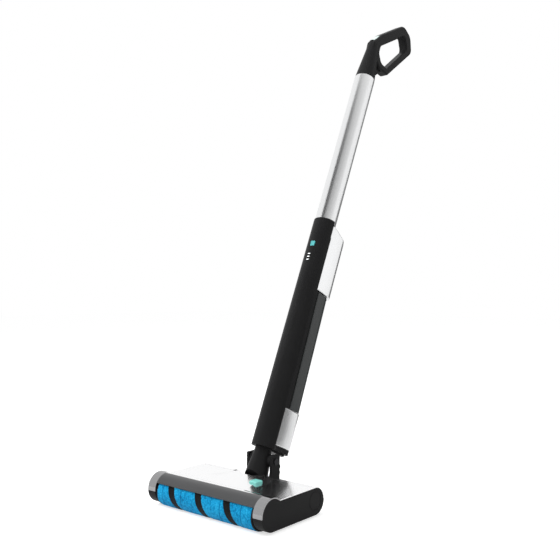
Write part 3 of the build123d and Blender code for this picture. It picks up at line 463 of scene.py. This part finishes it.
def wound_band(bm, start, sweep, outer):
    """A closed band on the roller: its section, spun while it is pushed along, and cut square."""
    width = STRIP_PITCH * sweep / tau
    turns = (SLEEVE_LENGTH + width) / STRIP_PITCH + 2 * LEAD_IN
    first = start - LEAD_IN * tau
    left = SLEEVE_LOW.x - width - LEAD_IN * STRIP_PITCH
    steps = round(turns * tau * outer / BAND_GRID)
    turned = Matrix.Rotation(first, 4, "X")
    centre = around_roller(left + width / 2, first, (outer + CORE_R) / 2)
    sized = Matrix.Diagonal((width, outer - CORE_R, 1, 1))
    section = Matrix.Translation(centre) @ turned @ sized
    bmesh.ops.create_grid(bm, x_segments=1, y_segments=1, size=0.5, matrix=section)
    crown = max(bm.edges, key=lambda edge: sum(spoke_of(vert.co).length for vert in edge.verts))
    bmesh.ops.subdivide_edges(bm, edges=[crown], cuts=round(width / BAND_GRID) - 1)
    bmesh.ops.spin(
        bm,
        geom=[*bm.verts, *bm.edges, *bm.faces],
        cent=ROLLER_AXIS,
        axis=RIGHT,
        dvec=RIGHT * (STRIP_PITCH * turns / steps),
        angle=turns * tau,
        steps=steps,
    )
    for place, ends in ((SLEEVE_LOW, {"clear_inner": True}), (SLEEVE_HIGH, {"clear_outer": True})):
        whole = [*bm.verts, *bm.edges, *bm.faces]
        cut = bmesh.ops.bisect_plane(bm, geom=whole, plane_co=place, plane_no=RIGHT, **ends)
        bmesh.ops.edgeloop_fill(bm, edges=picked(cut["geom_cut"], bmesh.types.BMEdge))


def tuft_height(place, size):
    """How far a tuft stands up at a place, from 0 between clumps to 1 on a clump's crown."""
    clump = noise.voronoi(place / size)[0][0]
    curl = noise.noise(place / (CURL_SIZE * size))
    return max(0.0, min(1.0, 1.0 - CLUMP_FALL * clump + CURL_RISE * curl))


def seam_depth(x):
    """Ring seams of the sleeve: 1 on a seam, 0 away from it."""
    nearest = min(abs(x - ring) for ring in SEAM_RINGS)
    return max(0.0, 1.0 - nearest / SEAM_HALF)


def press_clumps(bm, size, depth, seams):
    """Presses a band's face into clumps, with the clump height kept as an attribute that sets painted shade and
    light.
    """
    shade = bm.verts.layers.float.new("clump")
    for vert in bm.verts:
        spoke = spoke_of(vert.co)
        if spoke.length < CORE_R + MM:
            continue
        height = tuft_height(vert.co, size)
        if seams:
            height *= 1 - seam_depth(vert.co.x)
        vert[shade] = height
        vert.co -= spoke.normalized() * depth * (1 - height)
    for face in bm.faces:
        face.smooth = True


def plant(bm, roots, base_radius, reach, lean, rng):
    """Thin three-sided hairs on the roller, each leaning its own way, up to a reach from the axis."""
    shade = bm.verts.layers.float.new("clump")
    for x, angle, root in roots:
        tip_x = x + rng.uniform(-lean, lean)
        tip_angle = angle + rng.uniform(-lean, lean) / reach
        tip = around_roller(tip_x, tip_angle, reach * rng.uniform(HAIR_SHORTEST, 1.0))
        foot = around_roller(x, angle, root)
        stem = tip - foot
        upright = stem.to_track_quat("Z", "Y").to_matrix().to_4x4()
        hair = bmesh.ops.create_cone(
            bm,
            segments=3,
            radius1=base_radius,
            radius2=0,
            depth=stem.length,
            cap_ends=True,
            matrix=Matrix.Translation((tip + foot) / 2) @ upright,
        )
        # Painted shade: the hair's lower part is darker and its tip lighter
        for vert in hair["verts"]:
            low = (vert.co - foot).length < HAIR_ROOT_SHARE * stem.length
            vert[shade] = HAIR_ROOT_PAINTED_SHADE if low else 1.0


def add_hairs(bm, roots, base_radius, reach, lean, rng):
    """Plants hairs in small batches and adds them to a band."""
    for first in range(0, len(roots), HAIR_BATCH):
        batch = bmesh.new()
        plant(batch, roots[first:first + HAIR_BATCH], base_radius, reach, lean, rng)
        bmesh.ops.recalc_face_normals(batch, faces=batch.faces)
        mesh = bpy.data.meshes.new("hair_batch")
        batch.to_mesh(mesh)
        batch.free()
        bm.from_mesh(mesh)
        bpy.data.meshes.remove(mesh)


def strip_angle(x):
    """Where the bristle strip starts round the roller, at a distance along it."""
    return STRIP_START + tau * (x - SLEEVE_LOW.x) / STRIP_PITCH


def pile_roots(rng):
    """Places for fibres, scattered over the pile and clear of its edges."""
    roots = []
    for _ in range(HAIR_BATCH * PILE_BATCHES):
        x = rng.uniform(SLEEVE_LOW.x + END_MARGIN, SLEEVE_HIGH.x - END_MARGIN)
        angle = strip_angle(x) + STRIP_ANGLE + rng.uniform(*PILE_SIDES) * PILE_ANGLE
        roots.append((x, angle, ROLLER_R - PILE_ROOT))
    return roots


def bristle_roots(rng):
    """Places for bristles, in rows along the strip."""
    roots = []
    slope = STRIP_PITCH / (tau * ROLLER_R)
    count = round(SLEEVE_LENGTH * (1 + slope * slope) ** 0.5 / (BRISTLE_STEP * slope))
    for row in range(BRISTLE_ROWS):
        share = (row + 0.5) / BRISTLE_ROWS
        for i in range(count):
            along = (i + rng.uniform(-BRISTLE_JITTER, BRISTLE_JITTER) + 0.5) / count
            x = SLEEVE_LOW.x + END_MARGIN + (SLEEVE_LENGTH - 2 * END_MARGIN) * along
            angle = strip_angle(x) + share * STRIP_ANGLE
            roots.append((x, angle, ROLLER_R - STRIP_SINK - BRISTLE_ROOT))
    return roots


def pile_finish(name, dark, middle, light, rough, sheen):
    """Cut pile: painted shade darkens it between the clumps and at the hair roots, painted light makes their
    crowns lighter and softer, and a noise wash varies its tone at random.
    """
    finish = Finish(
        name, Sheen_Weight=sheen, Sheen_Roughness=0.5, Roughness=rough, Specular_IOR_Level=0.1
    )
    # Painted shade and light: the clump attribute, the height of tufts and hairs, darkens hollows and roots and
    # lightens crowns and tips; the wash adds random tone
    clump = finish.node("ShaderNodeAttribute", attribute_name="clump").outputs["Fac"]
    place = finish.node("ShaderNodeTexCoord").outputs["Object"]
    wash = finish.node("ShaderNodeTexNoise", Vector=place, Scale=45.0, Detail=3.0)
    blend = finish.node("ShaderNodeMath", operation="MULTIPLY_ADD")
    finish.tree.links.new(wash.outputs["Fac"], blend.inputs[0])
    blend.inputs[1].default_value = WASH_SHARE
    finish.tree.links.new(spread(finish, clump, *CLUMP_PAINTED_SHADE), blend.inputs[2])
    ramp = finish.node("ShaderNodeValToRGB", Fac=blend.outputs[0])
    stops = ramp.color_ramp.elements
    stops[0].color = (*dark, 1)
    stops[0].position = DARK_STOP
    stops[1].color = (*light, 1)
    stops[1].position = LIGHT_STOP
    stops.new(MIDDLE_STOP).color = (*middle, 1)
    finish.feed(ramp.outputs["Color"], "Base Color")
    fibres = finish.node("ShaderNodeTexNoise", Vector=place, Scale=1400.0, Detail=2.0)
    bump = finish.node("ShaderNodeBump", Strength=0.5, Distance=0.0004, Height=fibres.outputs["Fac"])
    finish.feed(bump.outputs["Normal"], "Normal")
    return finish.material


def make_pile():
    """Blue microfibre between the turns of the strip: clumps with fine fibres standing out of them."""
    # Painted shade and light: the dark colour goes in the hollows and at hair roots, the light one on crowns and
    # tips
    pile_blue = pile_finish(
        "pile_blue",
        dark=(0.001, 0.10, 0.26),
        middle=(0.004, 0.31, 0.63),
        light=(0.03, 0.50, 0.84),
        rough=0.85,
        sheen=0.06,
    )
    rng = random.Random(PILE_SEED)
    bm = bmesh.new()
    wound_band(bm, STRIP_START + STRIP_ANGLE, PILE_ANGLE, ROLLER_R)
    press_clumps(bm, size=3.2 * MM, depth=1.0 * MM, seams=True)
    add_hairs(bm, pile_roots(rng), base_radius=0.22 * MM, reach=ROLLER_R, lean=0.9 * MM, rng=rng)
    fit(link_mesh("roller_pile", bm, pile_blue), "pile_blue", "roller", "roller_sleeve")


def make_bristles():
    """Black strip with rows of stiff bristle."""
    # Painted shade and light: the dark colour goes in the hollows and at bristle roots, the light one on crowns
    # and tips
    bristle_black = pile_finish(
        "bristle_black",
        dark=(0.002, 0.002, 0.002),
        middle=(0.005, 0.005, 0.005),
        light=(0.012, 0.012, 0.012),
        rough=0.6,
        sheen=0.05,
    )
    rng = random.Random(BRISTLE_SEED)
    bm = bmesh.new()
    wound_band(bm, STRIP_START, STRIP_ANGLE, ROLLER_R - STRIP_SINK)
    press_clumps(bm, size=1.6 * MM, depth=0.6 * MM, seams=False)
    add_hairs(bm, bristle_roots(rng), base_radius=0.4 * MM, reach=ROLLER_R, lean=0.4 * MM, rng=rng)
    fit(link_mesh("bristle_bands", bm, bristle_black), "bristle_black", "roller", "bristle_strips")


make_pile()
make_bristles()


# Fittings: crowned back covers, return springs, the power button's rim, the socket's pin, screws

MERGE = 0.001 * MM
CREASE = radians(35)
COVER_CROWN = 2.0
COVER_CROWN_END = 32
COVER_CUTS = range(4, COVER_CROWN_END, 2)
RIM_PLACE = (2, -26.5, 512)
RIM_SIZE = (10.4, 10.9)
RIM_CORNER = 1.6 * MM
RIM_WIDTH = 1.5 * MM
RIM_THICKNESS = 0.12 * MM
PIN_PLACE = (0, 59.4, 96)
PIN_R = 0.95 * MM
PIN_LENGTH = 8 * MM
PIN_ROUNDING = 0.6 * MM

# Screw heads, in shares of their radius
HEAD_DEPTH = 0.5
HEAD_INSET = 0.45
HEAD_ROUNDING = 0.22
CROSS_ARM = 0.55
CROSS_HALF = 0.14
CROSS_DEPTH = 0.35
SOLE_SCREW_R = 3.4 * MM
SOLE_SCREW_STAND = 0.7
SOLE_SCREW_X = (-112, -48, 48, 112)
SOLE_SCREW_Y = (-22, 44)
SOLE_Z = Vector(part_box("base_chassis")[0]).z / MM - SOLE_SCREW_STAND
GRIP_SCREW_R = 2.6 * MM
GRIP_SCREWS = ((41, 1141), (82, 1195), (99, 1107))
GRIP_LEFT = -12.3


def on_stick(x, back, height):
    """A place on the stick: across it, to its back and up along it, in millimetres."""
    return FOOT + (RIGHT * x + BACKWARD * back + ALONG * height) * MM


def stick_matrix(x, back, height):
    """A place on the stick's front, looking straight out of it, with up along the stick."""
    turned = Matrix((RIGHT, ALONG, -BACKWARD)).transposed().to_4x4()
    return Matrix.Translation(on_stick(x, back, height)) @ turned


def facing(place, outward):
    """A place with its own Z pointing outward."""
    return Matrix.Translation(place) @ outward.to_track_quat("Z", "Y").to_matrix().to_4x4()


def merged_copy(node):
    """A bmesh of a solid's own mesh, with its loose triangles joined."""
    bm = bmesh.new()
    bm.from_mesh(frame["nodes"][node].data)
    bmesh.ops.remove_doubles(bm, verts=bm.verts, dist=MERGE)
    for face in bm.faces:
        face.smooth = True
    return bm


def link_smooth(name, bm, material):
    """A new object from a bmesh, shaded smooth between its creases."""
    piece = link_mesh(name, bm, material)
    packed_normals = piece.data.attributes.get("custom_normal")
    if packed_normals:
        piece.data.attributes.remove(packed_normals)
    piece.data.set_sharp_from_angle(angle=CREASE)
    return piece


def make_cover(name, node):
    """Back cover of the stick, a crowned pressing: its sides draw in a little towards the column."""
    bm = merged_copy(node)
    for back in COVER_CUTS:
        whole = [*bm.verts, *bm.edges, *bm.faces]
        bmesh.ops.bisect_plane(bm, geom=whole, plane_co=on_stick(0, back, 0), plane_no=BACKWARD)
    for vert in bm.verts:
        back = (vert.co - FOOT).dot(BACKWARD) / MM
        drawn = COVER_CROWN * (max(0, COVER_CROWN_END - back) / COVER_CROWN_END) ** 2
        vert.co.x -= copysign(drawn * MM, vert.co.x)
    fit(link_smooth(name, bm, silver_cover), "silver_cover", "stick", node)


def make_coil(name, node, body):
    """Return spring under a button."""
    bm = merged_copy(node)
    piece = link_smooth(name, bm, turned_steel)
    fit(piece, "spring_steel", body, node)
    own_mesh(piece)


def make_power_rim():
    """Pale rim let into the edge of the power button's face."""
    bm = bmesh.new()
    sized = stick_matrix(*RIM_PLACE) @ Matrix.Diagonal((*(side * MM for side in RIM_SIZE), 1, 1))
    bmesh.ops.create_grid(bm, x_segments=1, y_segments=1, size=0.5, matrix=sized)
    bmesh.ops.bevel(
        bm, geom=bm.verts[:], offset=RIM_CORNER, segments=5, profile=0.5, affect="VERTICES", material=-1
    )
    middle = bm.faces[:]
    bmesh.ops.inset_region(
        bm, faces=middle, thickness=RIM_WIDTH, use_boundary=True, use_even_offset=True
    )
    bmesh.ops.delete(bm, geom=middle, context="FACES_ONLY")
    bmesh.ops.solidify(bm, geom=bm.faces[:], thickness=RIM_THICKNESS)
    fit(link_mesh("power_rim", bm, rim_teal), "power_teal", "power")


def make_socket_pin():
    """Centre contact of the charge socket, with a rounded tip."""
    bm = bmesh.new()
    bmesh.ops.create_cone(
        bm,
        segments=20,
        radius1=PIN_R,
        radius2=PIN_R,
        depth=PIN_LENGTH,
        cap_ends=True,
        matrix=facing(on_stick(*PIN_PLACE), BACKWARD),
    )
    middle = on_stick(*PIN_PLACE)
    tip = [edge for edge in bm.edges if all((v.co - middle).dot(BACKWARD) > 0 for v in edge.verts)]
    bmesh.ops.bevel(
        bm, geom=tip, offset=PIN_ROUNDING, segments=4, profile=0.5, affect="EDGES", material=-1
    )
    fit(link_mesh("socket_pin", bm, turned_steel), "steel", "stick")


def cross_reach(turn, arm, half):
    """Outline of a cross recess: how far it reaches at an angle from an arm."""
    turn = abs((turn + tau / 8) % (tau / 4) - tau / 8)
    return arm if tan(turn) * arm <= half else half / sin(turn)


def screw(bm, place, outward, radius):
    """A domed screw head with a cross recess, standing on a face."""
    head = facing(place, outward)
    ring = bmesh.ops.create_circle(bm, cap_ends=True, segments=24, radius=radius, matrix=head)
    top = ring["verts"][0].link_faces[0]
    rim = top.edges[:]
    side = bmesh.ops.extrude_edge_only(bm, edges=rim)["geom"]
    lower = picked(side, bmesh.types.BMVert)
    bmesh.ops.translate(bm, verts=lower, vec=-outward * radius * HEAD_DEPTH)
    foot = [edge for edge in picked(side, bmesh.types.BMEdge) if all(v in lower for v in edge.verts)]
    bmesh.ops.edgeloop_fill(bm, edges=foot)
    bmesh.ops.inset_region(bm, faces=[top], thickness=radius * HEAD_INSET)
    local = head.inverted()
    for vert in top.verts:
        spot = local @ vert.co
        turn = spot.xy.angle_signed(Vector((1, 0)), 0)
        reach = cross_reach(turn, radius * CROSS_ARM, radius * CROSS_HALF)
        vert.co = head @ (spot.xy.normalized() * reach).to_3d()
    sunk = bmesh.ops.extrude_face_region(bm, geom=[top])["geom"]
    bmesh.ops.delete(bm, geom=[top], context="FACES_ONLY")
    floor = picked(sunk, bmesh.types.BMVert)
    bmesh.ops.translate(bm, verts=floor, vec=-outward * radius * CROSS_DEPTH)
    rounding = radius * HEAD_ROUNDING
    bmesh.ops.bevel(bm, geom=rim, offset=rounding, segments=3, profile=0.5, affect="EDGES", material=-1)


def make_screws(name, body, places, outward, radius):
    """A set of like screws on one body."""
    bm = bmesh.new()
    for place in places:
        screw(bm, place, outward, radius)
    fit(link_mesh(name, bm, black_screw), "steel", body)


sole_places = [Vector((x, y, SOLE_Z)) * MM for x in SOLE_SCREW_X for y in SOLE_SCREW_Y]
grip_places = [on_stick(GRIP_LEFT, *place) for place in GRIP_SCREWS]
make_coil("release_coil", "release_spring", "cassette")
make_coil("power_coil", "power_spring", "stick")
make_coil("thumb_coil", "thumb_spring", "stick")
make_cover("lower_cover_skin", "lower_back_cover")
make_cover("upper_cover_skin", "upper_back_cover")
make_power_rim()
make_socket_pin()
make_screws("sole_screws", "head", sole_places, -UP, SOLE_SCREW_R)
make_screws("grip_screws", "stick", grip_places, -RIGHT, GRIP_SCREW_R)


# Studio: pale floor, white backdrop, three softboxes, and grey sheets that only satin metal shows

FLOOR_HALF = 12
FLOOR_GREY = 0.8
FLOOR_LIFT = 0.66
FLOOR_GLOSS_SHARE = 0.4
WORLD_LIGHT = 0.42
LIGHT_AIM = Vector((0, 0.25, 0.45))
STAND = Vector((0, 0.25, 0))
STICK_MIDDLE = 600
SHEET_STEPS = 24
SHEET_FAR = 2.2
SHEET_NEAR = 0.45

# Greys across each sheet, as share of its width and brightness
FRONT_GREYS = ((0.2, 0.12), (0.35, 0.42), (1.0, 0.85))
SIDE_GREYS = ((0.0, 0.25), (0.36, 0.4), (0.48, 1.15), (0.8, 1.15), (0.88, 0.35), (1.0, 0.08))
LOW_GREYS = ((0.0, 0.15), (0.45, 0.25), (0.56, 1.1), (0.72, 1.1), (0.82, 0.3), (1.0, 0.05))
BACK_GREYS = ((0.0, 0.08), (0.5, 0.2), (1.0, 0.5))


def bare_material(name):
    """A material whose tree has only its output."""
    material = bpy.data.materials.new(name)
    material.use_nodes = True
    tree = material.node_tree
    tree.nodes.remove(tree.nodes["Principled BSDF"])
    return material, tree, tree.nodes["Material Output"].inputs["Surface"]


def make_floor():
    """Pale floor that keeps the shadow and reads as white to the camera."""
    material, tree, surface = bare_material("pale_floor")
    path = tree.nodes.new("ShaderNodeLightPath").outputs
    seen = add_node(tree, "ShaderNodeMath", operation="MULTIPLY_ADD")
    tree.links.new(path["Is Glossy Ray"], seen.inputs[0])
    seen.inputs[1].default_value = FLOOR_GLOSS_SHARE
    tree.links.new(path["Is Camera Ray"], seen.inputs[2])
    lift = add_node(tree, "ShaderNodeMath", operation="MULTIPLY")
    tree.links.new(seen.outputs[0], lift.inputs[0])
    lift.inputs[1].default_value = FLOOR_LIFT
    shade = add_node(tree, "ShaderNodeBsdfDiffuse", Color=(FLOOR_GREY, FLOOR_GREY, FLOOR_GREY, 1))
    glow = add_node(tree, "ShaderNodeEmission", Color=(1, 1, 1, 1), Strength=lift.outputs[0])
    both = tree.nodes.new("ShaderNodeAddShader")
    tree.links.new(shade.outputs[0], both.inputs[0])
    tree.links.new(glow.outputs[0], both.inputs[1])
    tree.links.new(both.outputs[0], surface)
    bm = bmesh.new()
    bmesh.ops.create_grid(bm, x_segments=1, y_segments=1, size=FLOOR_HALF)
    floor = link_mesh("floor", bm, material)


def make_world():
    """White backdrop for what the camera and the metal see, and a plain level of light for the rest."""
    world = bpy.data.worlds.new("studio")
    bpy.context.scene.world = world
    world.use_nodes = True
    tree = world.node_tree
    path = tree.nodes.new("ShaderNodeLightPath").outputs
    seen = path["Is Camera Ray"]
    for ray in ("Is Glossy Ray", "Is Transmission Ray"):
        either = add_node(tree, "ShaderNodeMath", operation="MAXIMUM")
        tree.links.new(seen, either.inputs[0])
        tree.links.new(path[ray], either.inputs[1])
        seen = either.outputs[0]
    strength = add_node(tree, "ShaderNodeMapRange", Value=seen, To_Min=WORLD_LIGHT, To_Max=1.0)
    tree.nodes["Background"].inputs["Color"].default_value = (1, 1, 1, 1)
    tree.links.new(strength.outputs["Result"], tree.nodes["Background"].inputs["Strength"])


def soft_box(name, place, size, power):
    """A square softbox at a place, facing the machine."""
    light = bpy.data.lights.new(name, "AREA")
    light.size = size
    light.energy = power
    lamp = bpy.data.objects.new(name, light)
    lamp.location = place
    lamp.rotation_euler = (LIGHT_AIM - Vector(place)).to_track_quat("-Z", "Y").to_euler()
    lamp.visible_glossy = False
    bpy.context.scene.collection.objects.link(lamp)


def sheet_finish(name, greys):
    """Grey light of a sheet, graded across it."""
    material, tree, surface = bare_material(name)
    across = add_node(tree, "ShaderNodeAttribute", attribute_name="across").outputs["Fac"]
    ramp = add_node(tree, "ShaderNodeValToRGB", Fac=across)
    stops = ramp.color_ramp.elements
    stops[0].position, grey = greys[0]
    stops[0].color = (grey, grey, grey, 1)
    stops[1].position, grey = greys[-1]
    stops[1].color = (grey, grey, grey, 1)
    for position, grey in greys[1:-1]:
        stops.new(position).color = (grey, grey, grey, 1)
    glow = add_node(tree, "ShaderNodeEmission", Color=ramp.outputs["Color"], Strength=1.0)
    tree.links.new(glow.outputs[0], surface)
    return material


def make_reflector(name, foot, axis, turns, ends, reach, greys):
    """Grey sheet bent round an axis, between turns in degrees from the camera, that only metal shows.

    Its ends along the axis are in millimetres and its reach from the axis in metres.
    """
    bm = bmesh.new()
    across = bm.verts.layers.float.new("across")
    to_camera = CAMERA_PLACE - on_stick(0, 0, STICK_MIDDLE)
    outward = (to_camera - axis * to_camera.dot(axis)).normalized()
    swing = Matrix.Rotation(radians(turns[0]), 3, axis)
    low = bm.verts.new(foot + axis * ends[0] * MM + swing @ outward * reach)
    high = bm.verts.new(low.co + axis * (ends[1] - ends[0]) * MM)
    geom = [low, high, bm.edges.new((low, high))]
    turn = radians(turns[1] - turns[0]) / SHEET_STEPS
    for step in range(1, SHEET_STEPS + 1):
        geom = bmesh.ops.spin(bm, geom=geom, cent=foot, axis=axis, angle=turn, steps=1)["geom_last"]
        for vert in picked(geom, bmesh.types.BMVert):
            vert[across] = step / SHEET_STEPS
    sheet = link_mesh(name, bm, sheet_finish(name, greys))
    sheet.visible_camera = False
    sheet.visible_diffuse = False
    sheet.visible_shadow = False
    sheet.visible_transmission = False


def make_camera():
    """The photograph's view."""
    level = cos(CAMERA_TILT)
    back = Vector((sin(CAMERA_AZIMUTH) * level, -cos(CAMERA_AZIMUTH) * level, sin(CAMERA_TILT)))
    right = Vector((cos(CAMERA_AZIMUTH), sin(CAMERA_AZIMUTH), 0))
    up = back.cross(right)
    data = bpy.data.cameras.new("camera")
    data.sensor_width = SENSOR
    data.lens = CAMERA_LENS
    camera = bpy.data.objects.new("camera", data)
    turned = Matrix((right, up, back)).transposed().to_4x4()
    camera.matrix_world = Matrix.Translation(CAMERA_PLACE) @ turned
    bpy.context.scene.collection.objects.link(camera)
    bpy.context.scene.camera = camera


make_floor()
make_world()
make_reflector("front_reflector", FOOT, ALONG, (-62, 55), (300, 2600), SHEET_FAR, FRONT_GREYS)
make_reflector("side_reflector", STAND, UP, (58, 128), (0, 850), SHEET_FAR, SIDE_GREYS)
make_reflector("low_reflector", STAND, UP, (58, 128), (0, 400), SHEET_NEAR, LOW_GREYS)
make_reflector("back_reflector", STAND, UP, (128, 162), (0, 2400), SHEET_FAR, BACK_GREYS)
make_reflector("low_back_reflector", STAND, UP, (128, 160), (0, 400), SHEET_NEAR, BACK_GREYS)
soft_box("key_light", (-1.3, -1.3, 1.6), size=1.2, power=32)
soft_box("right_light", (1.9, 1.0, 1.2), size=1.2, power=4)
soft_box("top_light", (-0.2, -0.3, 2.6), size=1.4, power=22)
make_camera()
bpy.context.scene.view_settings.view_transform = "Standard"
